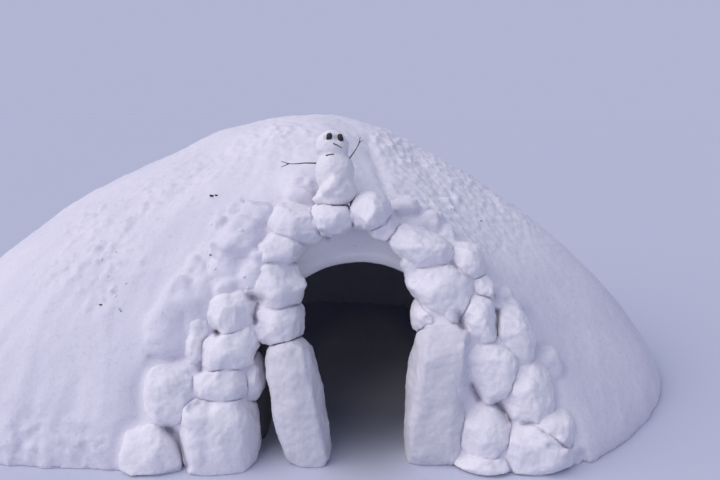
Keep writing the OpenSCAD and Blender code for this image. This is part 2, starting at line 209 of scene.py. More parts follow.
def remeshed(mesh, voxel):
    """The outside of the mesh, as a skin of even squares."""
    return modified(mesh, "REMESH", mode="VOXEL", voxel_size=voxel, adaptivity=0.0)


def parts_of(mesh):
    """The points and the four-sided faces of a remeshed skin. The mesh is used up."""
    co, _ = arrays(mesh)
    corners = np.empty(len(mesh.loops), np.int32)
    mesh.loops.foreach_get("vertex_index", corners)
    bpy.data.meshes.remove(mesh)
    return co, corners.reshape(-1, 4).tolist()


def filled(mesh, distance, voxel):
    """The mesh with its clefts filled, where they are narrower than twice the distance."""
    mesh = remeshed(mesh, voxel)
    for offset in (distance, -distance):
        co, _ = arrays(mesh)
        place(mesh, co + normals(mesh) * offset)
        mesh = remeshed(mesh, voxel)
    return mesh


def relaxed(co, edges, rounds, weight=1.0, keep=0.52):
    """Smooths the points over their neighbours. The share kept is pushed back, so that the form doesn't shrink."""
    n = len(co)
    degree = np.maximum(np.bincount(edges.ravel(), minlength=n), 1)[:, None]
    weight = np.broadcast_to(np.asarray(weight, float), (n,))[:, None]
    for _ in range(rounds):
        for share in (0.5, -keep):
            total = np.stack([np.bincount(edges[:, 0], co[edges[:, 1], i], n)
                              + np.bincount(edges[:, 1], co[edges[:, 0], i], n) for i in range(3)], 1)
            co = co + share * weight * (total / degree - co)
    return co


def softened(values, edges, rounds, keep=0.0):
    """One value for each point, evened out over its neighbours."""
    return relaxed(np.stack([values] * 3, 1), edges, rounds, keep=keep)[:, 0]


def worn(co, edges, at, radius, rounds):
    """Rounds the form off around one place."""
    weight = np.exp(-((co - at) ** 2).sum(1) / radius ** 2)
    near = weight > 0.003
    own = np.cumsum(near) - 1
    co = co.copy()
    co[near] = relaxed(co[near], own[edges[near[edges].all(1)]], rounds, weight[near], keep=0.0)
    return co


CLOD_SMALL, CLOD_BOXY = 0.03, 2.8       # where a clod needs few points, and how square it is (2 is a ball)


def clod(centre, radii, turn, seed, uneven=0.16):
    """A rough lump, turned by some degrees in the view from the front, as points and faces."""
    rows, columns = (9, 14) if max(radii) < CLOD_SMALL else (22, 36)
    rings = [(math.pi * r / rows, 2 * math.pi * c / columns) for r in range(1, rows) for c in range(columns)]
    ball = [[math.sin(a) * math.cos(b), math.sin(a) * math.sin(b), math.cos(a)] for a, b in rings]
    p = np.array([[0, 0, 1]] + ball + [[0, 0, -1]], float)
    p /= (np.abs(p) ** CLOD_BOXY).sum(1, keepdims=True) ** (1 / CLOD_BOXY)
    faces = []
    last = 1 + (rows - 2) * columns
    for c in range(columns):
        d = (c + 1) % columns
        faces.append((0, 1 + c, 1 + d))
        for a in range(1, last, columns):
            faces.append((a + c, a + columns + c, a + columns + d, a + d))
        faces.append((last + c, len(p) - 1, last + d))
    own = p + 10 * seed
    p = p * (1 + uneven * noise(own, 0.8, seed) + 0.4 * uneven * noise(own, 0.35, seed + 1))[:, None]
    p = p * np.asarray(radii)
    s, t = math.sin(math.radians(turn)), math.cos(math.radians(turn))
    p = np.stack([p[:, 0] * t + p[:, 2] * s, p[:, 1], p[:, 2] * t - p[:, 0] * s], 1)
    return p + np.asarray(centre), faces


# ---- materials
MIX_SHARE, MIX_A, MIX_B, MIX_OUT = 0, 6, 7, 2           # a Mix node's sockets where it mixes colours


class Net:
    """The nodes of a material or of the world."""

    def __init__(self, owner):
        owner.use_nodes = True
        self.nodes, self.links = owner.node_tree.nodes, owner.node_tree.links

    def feed(self, node, sockets):
        """Sets each socket to its value, or joins it to another node's output."""
        for socket, value in sockets.items():
            if isinstance(value, bpy.types.NodeSocket):
                self.links.new(value, node.inputs[socket])
            else:
                node.inputs[socket].default_value = value

    def add(self, kind, sockets=None, **settings):
        """A new node, with its settings and what its sockets are fed."""
        node = self.nodes.new("ShaderNode" + kind)
        for setting, value in settings.items():
            setattr(node, setting, value)
        self.feed(node, sockets or {})
        return node

    def mixed(self, a, b, share):
        """The colour a where the share is 0, and b where it is 1."""
        a, b = [c if isinstance(c, bpy.types.NodeSocket) else (*c, 1) for c in (a, b)]
        return self.add("Mix", {MIX_A: a, MIX_B: b, MIX_SHARE: share}, data_type="RGBA").outputs[MIX_OUT]


# bumps of the snow, as (size, height for a grain of 1), and the tones of its painted light and painted shade
GRAINS = ((0.028, 0.0022), (0.009, 0.0011), (0.0035, 0.0005))
PAINTED_TONES = (("painted_light", (0.93, 0.915, 0.95)), ("inside", (0.115, 0.112, 0.122)))
PATCH, SPECK, DULLER = 0.35, 0.022, 0.05                # sizes of its broad tones, specks and duller spots
SPECK_TONE = 0.9


def snow(name, light, shade, grain, painted_zones=False):
    """Snow in two broad tones with darker specks, with bumps in three sizes."""
    m = bpy.data.materials.new(name)
    net = Net(m)
    where = net.add("TexCoord").outputs["Object"]

    def field(size, detail=4.0, rough=0.55):
        sockets = {"Scale": 1 / size, "Detail": detail, "Roughness": rough, "Vector": where}
        return net.add("TexNoise", sockets).outputs["Fac"]

    def ramp(source, low, high, a, b):
        sockets = {"From Min": low, "From Max": high, "To Min": a, "To Max": b, "Value": source}
        return net.add("MapRange", sockets).outputs["Result"]

    colour = net.mixed(light, shade, ramp(field(PATCH, 5), 0.38, 0.72, 0, 1))
    specks = ramp(field(SPECK, 3), 0.55, 0.75, 0, 0.7)
    colour = net.mixed(colour, tuple(c * SPECK_TONE for c in shade), specks)
    # painted light and painted shade, mixed in where the mesh's attributes mark them
    if painted_zones:
        for zone, tone in PAINTED_TONES:
            colour = net.mixed(colour, tone, net.add("Attribute", attribute_name=zone).outputs["Fac"])
    normal = None
    for size, height in GRAINS:
        bump = net.add("Bump", {"Strength": 1.0, "Distance": height * grain, "Height": field(size, 3, 0.6)})
        if normal is not None:
            net.feed(bump, {"Normal": normal})
        normal = bump.outputs["Normal"]
    net.feed(net.nodes["Principled BSDF"], {
        "Base Color": colour, "Roughness": ramp(field(DULLER), 0.3, 0.7, 0.72, 0.92), "Specular IOR Level": 0.18,
        "Normal": normal})
    return m


mound_snow = snow("packed_snow", (0.80, 0.78, 0.85), (0.74, 0.725, 0.81), 1.2, painted_zones=True)
lump_snow = snow("lump_snow", (0.875, 0.855, 0.895), (0.81, 0.795, 0.855), 1.4)
# a darker copy of the lumps' snow: painted shade for the low jamb slabs
shaded_slab_snow = snow("shaded_slab_snow", (0.73, 0.715, 0.765), (0.67, 0.66, 0.72), 0.9)
figure_snow = snow("figure_snow", (0.875, 0.85, 0.875), (0.825, 0.805, 0.84), 0.7)


def plain(name, low, high, size, rough, height):
    """A finish of two tones that run into each other, with bumps of the same size."""
    m = bpy.data.materials.new(name)
    net = Net(m)
    where = net.add("TexCoord").outputs["Object"]
    field = net.add("TexNoise", {"Scale": 1 / size, "Detail": 4, "Vector": where}).outputs["Fac"]
    bump = net.add("Bump", {"Distance": height, "Height": field})
    net.feed(net.nodes["Principled BSDF"], {
        "Base Color": net.mixed(low, high, field), "Roughness": rough, "Normal": bump.outputs["Normal"]})
    return m


pebble = plain("pebble", (0.010, 0.010, 0.012), (0.035, 0.034, 0.038), 0.006, 0.6, 0.0006)
twig = plain("twig", (0.018, 0.012, 0.010), (0.060, 0.040, 0.030), 0.004, 0.8, 0.0005)

# ---- what the camera's lines meet
cad_parts = {n: triangles_of(n) for n in MOUND + LUMPS}


def tree(names):
    """The surface of some CAD nodes, for finding points on it."""
    return BVHTree.FromPolygons(*chained([cad_parts[n] for n in names]))


def surface_of(mesh):
    """The surface of a mesh, for finding points on it."""
    return BVHTree.FromPolygons([v.co for v in mesh.vertices], [tuple(f.vertices) for f in mesh.polygons])


cad_mound, cad_all = tree(MOUND), tree(MOUND + LUMPS)


def met(surface, px, py):
    """The point of a surface that shows at a pixel, and the surface's direction there."""
    at, normal, _, _ = surface.ray_cast(EYE, sight(px, py))
    return np.array(at), np.array(normal)


def spots(pixels):
    """The points of the whole shelter that show at the pixels."""
    return [met(cad_all, px, py)[0] for px, py in pixels]


def nearest(surface, co, most):
    """How far the surface is from each point, up to the most that counts, and which way."""
    gap, way = np.full(len(co), most), np.zeros((len(co), 3))
    for i, p in enumerate(co):
        at, _, _, d = surface.find_nearest(p, most)
        if at is not None:
            gap[i] = d
            way[i] = (at - Vector(p)) / max(d, 1e-6)
    return gap, way


def beside(co, path):
    """How far each point is from a path, seen from the camera, and how far behind it."""
    nearest_gap, behind = np.full(len(co), FAR), np.zeros(len(co))
    for a, b in zip(path[:-1], path[1:]):
        way = (a + b) / 2 - np.array(EYE)
        way /= np.linalg.norm(way)
        along = b - a - way * ((b - a) @ way)
        t = np.clip((co - a) @ along / (along @ along), 0, 1)
        rel = co - a - t[:, None] * (b - a)
        deep = rel @ way
        gap = np.linalg.norm(rel - deep[:, None] * way, axis=1)
        closer = gap < nearest_gap
        nearest_gap, behind = np.where(closer, gap, nearest_gap), np.where(closer, deep, behind)
    return nearest_gap, behind


GAP_REACH = 0.30                        # how far before and behind its path a gap cuts


def gap_depth(co, share, wider):
    """How deep the gaps between the lumps cut at each point, or how near they are (1 to 0) for no share."""
    amount = np.zeros(len(co))
    for path, radius, depth in gap_paths:
        gap, behind = beside(co, path)
        most = depth * share if share else 1.0
        amount = np.maximum(amount, most * np.exp(-(gap / radius / wider) ** 2) * (np.abs(behind) < GAP_REACH))
    return amount


def dented(co, share=1.0, wider=1.0):
    """Pushes the surface back, away from the camera, where there is a deep gap between lumps."""
    way = co - np.array(EYE)
    return co + way / np.linalg.norm(way, axis=1, keepdims=True) * gap_depth(co, share, wider)[:, None]


SMALLER_OFTEN = 1.7                     # makes small clods more frequent than large ones


def strewn(surface, seed, count, region, sizes, sunk, uneven):
    """Small clods strewn over a region of the photograph, given as the corners of a box of pixels."""
    rng = np.random.default_rng(seed)
    made = []
    for k in range(count):
        px, py = rng.uniform(region[0], region[2]), rng.uniform(region[1], region[3])
        size = sizes[0] * (sizes[1] / sizes[0]) ** rng.random() ** SMALLER_OFTEN
        radii = size * rng.uniform(0.75, 1.25, 3)
        at, normal = met(surface, px, py)
        at = at + normal * radii[1] * (0.75 - sunk)
        made.append(clod(at, radii, rng.uniform(0, 180), seed * 50 + k, uneven))
    return made


# ---- the mound: one skin over its blocks, with the snow packed between the lumps
LOOSE = ("left_jamb_slab",)             # stands free, with no snow packed against it
OUTER = ("left_edge_high", "left_edge_low", "left_corner_block", "right_edge_top", "right_edge_mid",
         "right_edge_foot", "right_base_block", "right_shoulder_high", "left_stack_high", "arch_lump_upper_left",
         "arch_lump_left")
LOW_OUTER = ("left_stack_high", "left_edge_high", "left_edge_low", "left_corner_block", "right_edge_mid",
             "right_edge_foot")
UNDER = -0.09                           # how far the snow reaches below the floor before it is cut level
COARSE, VOXEL = 0.030, 0.0145           # squares of the rough skin and of the finished one
INNER_BACK, OUTER_BACK = 0.030, 0.018   # how far the packed snow stands back from the inner and the outer lumps
# how uneven the hollow, the passage and the cut face are, where the slopes have 1
HOLLOW_SHARE, PASSAGE_SHARE, FACE_SHARE = 0.3, 0.25, 0.45
MOUND_TRIANGLES = 192000

# soft swells of the snow beside the lumps, as (pixel, radius, how high it stands over the mound's own blocks)
BANKS = [
    ((236, 262), 0.10, 0.035), ((228, 280), 0.09, 0.030), ((240, 238), 0.09, 0.035), ((252, 216), 0.10, 0.030),
    ((298, 192), 0.12, 0.035), ((402, 206), 0.10, 0.030), ((420, 218), 0.10, 0.025), ((520, 306), 0.10, 0.025),
]
# marks of the shovel down the slope, as (pixels along it, depth, width)
MARKS = [
    ([(368, 139), (372, 152), (378, 166), (383, 180), (387, 192)], 0.014, 0.035),
    ([(226, 152), (204, 170), (186, 186), (172, 198)], 0.014, 0.060),
    ([(168, 196), (150, 212), (132, 230)], 0.010, 0.045), ([(262, 132), (244, 148), (222, 162)], 0.008, 0.040),
    ([(200, 214), (176, 238), (156, 262)], 0.008, 0.040), ([(420, 160), (440, 190), (462, 222)], 0.008, 0.050),
    ([(60, 300), (46, 330), (34, 360)], 0.008, 0.040), ([(96, 330), (80, 372), (70, 410)], 0.008, 0.045),
]
# a face of the slope that was smoothed with the shovel, as pixels down its middle, and how wide it is
SMOOTHED, SMOOTHED_WIDE = [(364, 136), (367, 160), (374, 186)], 0.10
# where loose snow has slid down in clumps, as (pixel, how wide)
SLIDES = [
    ((118, 240), 0.15), ((114, 262), 0.13), ((102, 288), 0.12), ((136, 262), 0.12), ((196, 268), 0.12),
    ((236, 250), 0.22), ((230, 214), 0.14), ((416, 212), 0.16), ((300, 186), 0.12), ((160, 200), 0.18),
    ((218, 160), 0.15), ((88, 222), 0.16), ((66, 262), 0.14), ((30, 445), 0.18), ((96, 458), 0.16),
    ((278, 130), 0.20), ((396, 150), 0.20),
]
# half-buried lumps and heaps that show as soft forms, as (pixel, radii, turn, share that is sunk)
CLODS = [
    ((183, 323), (0.175, 0.12, 0.215), 22, 1.26), ((199, 294), (0.090, 0.08, 0.085), -20, 1.15),
    ((168, 338), (0.110, 0.09, 0.120), -10, 1.25), ((262, 214), (0.055, 0.06, 0.055), 0, 0.60),
    ((404, 206), (0.085, 0.07, 0.045), -15, 0.85), ((429, 219), (0.062, 0.05, 0.040), -35, 0.80),
    ((447, 231), (0.045, 0.05, 0.040), 0, 0.80), ((501, 297), (0.060, 0.07, 0.045), -20, 0.60),
    ((514, 306), (0.045, 0.06, 0.035), 30, 0.70), ((547, 364), (0.110, 0.08, 0.110), -15, 1.25),
    ((300, 193), (0.075, 0.07, 0.045), 10, 0.95), ((246, 232), (0.090, 0.07, 0.080), 0, 0.85),
    ((232, 256), (0.100, 0.07, 0.090), 20, 1.00), ((238, 278), (0.070, 0.06, 0.060), -10, 0.85),
    ((222, 272), (0.070, 0.06, 0.055), 20, 1.00),
]
# small clods around them, as (seed, count, box of pixels, sizes, share that is sunk, unevenness)
HEAPED = [
    (1, 34, (216, 206, 260, 290), (0.032, 0.075), 0.80, 0.26),
    (2, 24, (190, 262, 232, 296), (0.022, 0.040), 0.85, 0.30),
    (9, 22, (396, 198, 462, 236), (0.016, 0.036), 0.85, 0.32),
    (10, 8, (292, 177, 312, 192), (0.012, 0.022), 0.95, 0.32),
]
# deep gaps between the lumps, as (pixels along it, radius, depth)
GAPS = [
    ([(168, 429), (176, 438), (183, 452), (187, 466)], 0.024, 0.11),
    ([(192, 408), (200, 405), (209, 407)], 0.030, 0.08), ([(200, 362), (201, 370)], 0.014, 0.05),
    ([(217, 331), (218, 335)], 0.018, 0.08), ([(252, 297), (262, 300)], 0.022, 0.11),
    ([(258, 303), (253, 314), (256, 322)], 0.014, 0.08), ([(459, 314), (460, 322), (463, 330)], 0.018, 0.10),
    ([(497, 312), (497, 322), (496, 334)], 0.016, 0.09), ([(472, 385), (476, 392), (479, 398)], 0.016, 0.08),
    ([(496, 402), (502, 410), (508, 421)], 0.020, 0.10), ([(524, 423), (533, 423)], 0.012, 0.05),
    ([(550, 446), (560, 448), (570, 445)], 0.018, 0.06), ([(582, 454), (584, 461), (584, 467)], 0.022, 0.05),
    ([(532, 347), (545, 348)], 0.018, 0.035), ([(452, 262), (456, 268)], 0.012, 0.04),
    ([(322, 232), (328, 236)], 0.014, 0.05), ([(150, 357), (168, 359), (190, 357)], 0.013, 0.016),
    ([(184, 314), (184, 326), (188, 338)], 0.016, 0.010),
]
# where the packed snow comes forward flush with the lumps, as pixels down its middle, and how wide
FLUSH, FLUSH_WIDE = [(461, 345), (463, 372), (461, 395)], 0.05
# the front corner beside the lumps, which is worn round, as a pixel of the floor
CORNER, CORNER_RADIUS, CORNER_ROUNDS = (588, 456), 0.26, 90
gap_paths = [(spots(pixels), radius, depth) for pixels, radius, depth in GAPS]


def behind_face(p):
    """How far the points are behind the cut face that the doorway is in."""
    return p[:, 1] - (FACE_Y + p[:, 2] * FACE_LEAN)


def rooted(name, back=0.0):
    """A CAD node that goes on below the floor, moved back by some way."""
    co, fs = cad_parts[name]
    return np.stack([co[:, 0], co[:, 1] + back, np.where(co[:, 2] < 0.005, UNDER, co[:, 2])], 1), fs


def zones(co):
    """Which points are in the hollow, which in the passage, and which on the cut face."""
    rel = co - CROWN
    depth = np.where(rel[:, 1] < 0, HOLLOW_FRONT, HOLLOW_BACK)
    hollow = (np.abs(rel[:, 0] / HOLLOW_SIDE) ** HOLLOW_POWER + np.abs(rel[:, 1] / depth) ** HOLLOW_POWER
              + np.abs(rel[:, 2] / HOLLOW_H) ** HOLLOW_POWER) < HOLLOW_MARGIN
    x, back = co[:, 0] - DOOR_X, behind_face(co)
    passage = ((np.abs(x) < PASSAGE_W / 2 + 0.04) & (co[:, 2] < PASSAGE_H + 0.05) & (back > -0.01)
               & (rel[:, 1] < 0))
    face = (back < 0.10) & (x > FACE_LEFT) & (x < FACE_RIGHT) & (co[:, 2] < FACE_TOP)
    return hollow, passage, face


def packed_skin():
    """The mound's blocks as one skin, with snow banked up against the lumps and packed between them."""
    # the blocks' own facets and joints are smoothed away, but not the cut edges of the doorway
    mesh = remeshed(joined([rooted(n) for n in MOUND]), COARSE)
    co, edges = arrays(mesh)
    place(mesh, relaxed(co, edges, 30, np.where(np.any(zones(co), axis=0), 0.0, 1.0)))
    banks = []
    for k, ((px, py), radius, height) in enumerate(BANKS):
        at, normal = met(cad_mound, px, py)
        banks.append(clod(at - normal * (radius - height), [radius] * 3, 0, 70 + k))
    # widely against the lowest lumps, less so against the outer ones, and closely between all of them
    low_outer = [rooted(n, back=0.07) for n in LOW_OUTER]
    mesh = filled(joined([parts_of(mesh)] + low_outer), distance=0.26, voxel=0.045)
    outer = [rooted(n, back=0.05) for n in OUTER]
    mesh = filled(joined([parts_of(mesh)] + outer + banks), distance=0.11, voxel=COARSE)
    packing = [rooted(n) for n in LUMPS if n not in LOOSE]
    return filled(joined([parts_of(mesh)] + packing), distance=0.05, voxel=VOXEL)


def stood_back(co, edges, nrm):
    """The packed snow, moved back from the faces of the lumps."""
    front = np.where((co[:, 1] < CROWN[1] - 0.75) & (np.abs(co[:, 0] - DOOR_X) < 1.5))[0]
    to_inner, to_outer = np.full(len(co), 1.0), np.full(len(co), 1.0)
    to_inner[front] = nearest(tree([n for n in LUMPS if n not in OUTER]), co[front], 0.2)[0]
    to_outer[front] = nearest(tree(OUTER), co[front], 0.2)[0]
    back = np.maximum(INNER_BACK * (1 - step(0.02, 0.08, to_inner)), OUTER_BACK * (1 - step(0.02, 0.06, to_outer)))
    back *= 1 - np.exp(-(beside(co, spots(FLUSH))[0] / FLUSH_WIDE) ** 2)
    return relaxed(co - nrm * back[:, None], edges, 2)


def cut_crisply(co):
    """Puts the skin back onto the doorway's own edge, which the fillings have blunted."""
    x, rise = co[:, 0] - DOOR_X, co[:, 2] - SPRING_H
    from_edge = np.abs(np.hypot(x, np.maximum(rise, 0)) - PASSAGE_W / 2)
    for i in np.where((from_edge < 0.09) & (np.abs(behind_face(co)) < 0.12) & (rise > 0.05))[0]:
        at, _, _, d = cad_mound.find_nearest(co[i])
        share = (1 - step(0.030, 0.050, np.array(d))) * (1 - step(0.05, 0.09, from_edge[i]))
        co[i] += (np.array(at) - co[i]) * share


ARCH_SAG, ARCH_HALF = 0.024, 0.42       # how far the arch's crown sags, and the half width that does


def sag_arch(co):
    """Lets the crown of the doorway's arch sag."""
    x, z, deep = co[:, 0] - DOOR_X, co[:, 2], behind_face(co)
    sag = ARCH_SAG * np.clip(1 - (x / ARCH_HALF) ** 2, 0, 1) * step(0.55, 0.85, z) * (1 - step(0.98, 1.16, z))
    co[:, 2] -= sag * step(-0.12, -0.03, deep) * (1 - step(0.30, 0.55, deep)) * (co[:, 1] < CROWN[1])


# the slit between the left slab and the lumps beside it, as the reach of its x, z and depth behind the cut face,
# and how dark the painted shade in it is
SLIT_X, SLIT_TOP, SLIT_DEPTH, SLIT_PAINTED_SHADE = (-0.66, -0.40), 0.85, (-0.06, 0.55), 0.9
# painted light: how much lighter the snow is painted over the doorway, on the top and on the upper right
PAINTED_LIGHT_DOOR, PAINTED_LIGHT_TOP, PAINTED_LIGHT_RIGHT = 0.85, 0.35, 0.30   # how much lighter the snow is over the doorway and so on


def tones(co, edges, hollow, passage):
    """How much painted shade each point has in the hollow and the passage, and how much painted light it has over
    the doorway, on the top and on the upper right.
    """
    x, z, depth = co[:, 0] - DOOR_X, co[:, 2], behind_face(co)
    # painted shade on the walls of the hollow and the passage, strongest a short way in
    inside = np.where(hollow | passage, step(0.08, 0.40, depth) * (1 - 0.95 * step(0.30, 1.0, depth)), 0.0)
    # painted shade in the slit beside the left slab
    slit = ((x > SLIT_X[0]) & (x < SLIT_X[1]) & (z < SLIT_TOP)
            & (depth > SLIT_DEPTH[0]) & (depth < SLIT_DEPTH[1]))
    inside = np.where(slit, np.maximum(inside, SLIT_PAINTED_SHADE), inside)
    # painted light over the doorway, on the top and on the upper right
    rise, aside = z - SPRING_H, co[:, 0] - CROWN[0]
    over_edge = np.hypot(x, rise) - PASSAGE_W / 2
    painted_light = PAINTED_LIGHT_DOOR * (depth < 0.10) * (1 - step(0.12, 0.20, over_edge)) * step(0.22, 0.34, rise)
    painted_light = np.maximum(painted_light, PAINTED_LIGHT_TOP * step(1.25, 1.55, z) * step(-0.9, -0.2, aside))
    painted_light = np.maximum(painted_light, PAINTED_LIGHT_RIGHT * step(0.70, 1.10, z) * step(0.0, 0.5, aside))
    return {"inside": softened(inside, edges, 3), "painted_light": softened(painted_light, edges, 4)}


# heights of the snow's unevenness: broad swells, waves, streaks down the slope and clumps
SWELL_H, WAVE_H, STREAK_H, FINE_STREAK_H, CLUMP_H = 0.016, 0.008, 0.016, 0.009, 0.032
FINE_STREAK_ALL, CLUMP_HIGH = 0.002, 0.005              # what streaks and clumps there are beyond their own places
GRAIN_ALL, GRAIN_CLUMPY, GRAIN_RIGHT = 0.0015, 0.006, 0.0015
GRAIN_HIGH, GRAIN_HIGH_RIGHT = 0.003, 0.010


def unevenness(co):
    """How far the snow's surface stands out at each point."""
    rel = co - CROWN
    angle, reach = np.arctan2(rel[:, 1], rel[:, 0]), np.hypot(rel[:, 0], rel[:, 1])
    # the snow was thrown and slid down the slope, so this noise is stretched that way
    slide = np.stack([np.cos(angle) * 2.2, np.sin(angle) * 2.2, (reach - co[:, 2]) * 0.22], 1)
    streaks = layered(slide, 0.34, 3, 0.5, seed=3, fold=True)
    fine_streaks = layered(slide, 0.13, 2, 0.6, seed=41)
    left, right = step(0.3, -0.8, rel[:, 0]), step(0.1, 0.9, rel[:, 0])
    from_crown = step(0.30, 1.1, reach) * (1 - 0.6 * step(0.0, 1.0, rel[:, 1]))
    high = step(0.75, 1.35, co[:, 2] + 0.12 * noise(co, 0.5, seed=31))
    clumpy = np.full(len(co), 0.08)
    for (px, py), wide in SLIDES:
        clumpy += 0.9 * np.exp(-((co - met(cad_mound, px, py)[0]) ** 2).sum(1) / wide ** 2)
    clumpy = np.clip(clumpy, 0, 1)
    smoothed = np.exp(-(beside(co, spots(SMOOTHED))[0] / SMOOTHED_WIDE) ** 2)
    lumpy = np.clip(layered(co, 0.060, 2, 0.55, seed=8), -0.10, 1)
    grain = (GRAIN_ALL + GRAIN_CLUMPY * clumpy + GRAIN_RIGHT * right
             + (GRAIN_HIGH + GRAIN_HIGH_RIGHT * right) * high * (1 - smoothed))
    rough = (SWELL_H * layered(co, 0.60, 2, 0.5, seed=5) + STREAK_H * left * from_crown * streaks
             + WAVE_H * layered(co, 0.25, 2, 0.5, seed=12)
             + (FINE_STREAK_H * left + FINE_STREAK_ALL) * from_crown * fine_streaks
             + (CLUMP_H * clumpy + CLUMP_HIGH * high) * lumpy + grain * layered(co, 0.040, 2, 0.7, seed=9))
    for pixels, deep, width in MARKS:
        path = [met(cad_mound, px, py)[0] for px, py in pixels]
        away = np.full(len(co), FAR)
        for a, b in zip(path[:-1], path[1:]):
            t = np.clip((co - a) @ (b - a) / ((b - a) @ (b - a)), 0, 1)
            away = np.minimum(away, np.linalg.norm(co - a - t[:, None] * (b - a), axis=1))
        rough -= deep * np.exp(-(away / width) ** 2)
    return rough


def cut_level(mesh, values):
    """Cuts the mesh level with the ground and closes it underneath. The values become its points' attributes."""
    bm = bmesh.new()
    bm.from_mesh(mesh)
    for zone, shares in values.items():
        layer = bm.verts.layers.float.new(zone)
        for v, share in zip(bm.verts, shares):
            v[layer] = share
    bmesh.ops.bisect_plane(bm, geom=bm.verts[:] + bm.edges[:] + bm.faces[:], plane_co=(0, 0, 0),
                           plane_no=(0, 0, -1), clear_outer=True)
    under = bmesh.ops.holes_fill(bm, edges=[e for e in bm.edges if e.is_boundary], sides=0)
    bmesh.ops.triangulate(bm, faces=under["faces"])
    bm.to_mesh(mesh)
    bm.free()


def make_mound():
    """The mound, from its blocks to the finished piece."""
    mesh = packed_skin()
    co, edges = arrays(mesh)
    way = sight(*CORNER)
    co = worn(co, edges, np.array(EYE - way * (EYE.z / way.z)), CORNER_RADIUS, CORNER_ROUNDS)
    _, passage, face = zones(co)
    co = relaxed(co, edges, 4)
    co = relaxed(co, edges, 16, np.where(passage | face, 0.0, 1.0))
    place(mesh, co)
    co = stood_back(co, edges, normals(mesh))
    cut_crisply(co)
    sag_arch(co)
    place(mesh, co)
    # half-buried lumps and heaps become part of the skin
    skin = surface_of(mesh)
    heaps = []
    for k, ((px, py), radii, turn, sunk) in enumerate(CLODS):
        at, normal, _, _ = skin.ray_cast(EYE, sight(px, py))
        heaps.append(clod(np.array(at + normal * min(radii) * (0.75 - sunk)), radii, turn, k, 0.20))
    for group in HEAPED:
        heaps += strewn(skin, *group)
    mesh = remeshed(joined([parts_of(mesh)] + heaps), VOXEL)
    co, edges = arrays(mesh)
    hollow, passage, face = zones(co)
    co = relaxed(co, edges, 3, np.where(passage | face, 0.0, 1.0))
    values = tones(co, edges, hollow, passage)
    place(mesh, co)
    nrm = normals(mesh)
    # the cut surfaces are less uneven than the slopes
    share = np.where(hollow, HOLLOW_SHARE, np.where(passage, PASSAGE_SHARE, np.where(face, FACE_SHARE, 1.0)))
    share = softened(share, edges, 4, keep=0.52)
    place(mesh, dented(co + nrm * (unevenness(co) * share)[:, None]))
    cut_level(mesh, values)
    mesh = modified(mesh, "DECIMATE", ratio=MOUND_TRIANGLES / (2 * len(mesh.polygons)))
    return piece("mound", mesh, "packed_snow", mound_snow, *MOUND)


mound = make_mound()

# ---- the lumps
SLABS = ("left_jamb_slab", "right_jamb_slab")
SQUARE = SLABS + ("left_base_block", "left_corner_block")
LUMP_VOXEL, KNOB_FILL = 0.0085, 0.05
FOOT_SUNK, FOOT_TOP = 0.03, 0.16        # how far a foot is sunk in, and up to where that shows
SLAB_ROUNDS, LUMP_ROUNDS = 40, 17       # how much they are smoothed
PLANED_SQUARE, PLANED_ROUND = (2, 0.12), (4, 0.18)      # on how many sides they are broken, and how deep
# how far a lump swells into a cleft beside it, in how many steps of what size, what stays of the cleft, and how
# near its neighbour has to be
SWELL, SWELL_STEPS, SWELL_STEP, CLEFT, NEAR = 0.022, 5, 0.006, 0.001, 0.09
BROAD_H, SLAB_BROAD_H, FOLD_H, FINE_H = 0.0100, 0.0130, 0.0044, 0.0036          # heights of the unevenness
SLAB_SHARE, SQUARE_SHARE = 0.85, 0.75                   # what the slabs and the square lumps have of its finer part
SMALLER = 0.002                                         # what is taken off all round for it
# knobs that round out a lump's form, as (pixel, radii, share of the depth that is sunk)
KNOBS = {
    "left_base_block": [((196, 423), (0.075, 0.09, 0.085), 0.85), ((196, 450), (0.075, 0.09, 0.10), 0.85)],
    "right_edge_foot": [((554, 433), (0.130, 0.10, 0.095), 0.85)],
    "left_haunch_lump": [((296, 287), (0.050, 0.06, 0.036), 0.85)],
    "right_haunch_lump": [((409, 264), (0.052, 0.06, 0.036), 0.85)],
    "left_edge_high": [((198, 325), (0.055, 0.07, 0.070), 0.40)],
    "left_stack_mid": [((245, 333), (0.055, 0.06, 0.034), 0.75)],
    "right_stack_high": [((480, 361), (0.075, 0.06, 0.065), 0.70)],
}


def broken(p, rng, sides, depth, size):
    """Planes the form off on a few sides, mostly in front, by up to that share of its size."""
    middle = (p.min(0) + p.max(0)) / 2
    for _ in range(sides):
        u = rng.normal(size=3) * [1, 0.7, 1] - [0, 0.6, 0]
        u /= np.linalg.norm(u)
        along = (p - middle) @ u
        over = along - along.max() + size * depth * rng.uniform(0.4, 1.0)
        p = p - u * (np.clip(over, 0, None) * 0.9)[:, None]
    return p


def neighbours(name):
    """The lumps that a lump swells towards. The left slab stands free of those at its outer side."""
    if name == "left_jamb_slab":
        return ["left_jamb_lump"]
    free = () if name == "left_jamb_lump" else ("left_jamb_slab",)
    return [n for n in LUMPS if n != name and n not in free]


def swollen(mesh, p, edges, others):
    """Lets a lump swell towards its neighbours until only a thin cleft stays, but not where the gap is deep."""
    grown = np.zeros(len(p))
    closing = 1 - gap_depth(p, None, 1.6)
    for _ in range(SWELL_STEPS):
        place(mesh, p)
        nrm = normals(mesh)
        gap, way = nearest(others, p, 0.12)
        facing = np.clip(np.einsum("ij,ij->i", nrm, way), 0, 1)
        grow = np.clip((gap - grown) / 2 - CLEFT, 0, SWELL_STEP) * (1 - step(0.5 * NEAR, NEAR, gap)) * facing
        grow = np.minimum(grow, np.clip(SWELL - grown, 0, None)) * closing
        p = p + nrm * grow[:, None]
        grown += grow
    return relaxed(p, edges, 2, keep=0.50)


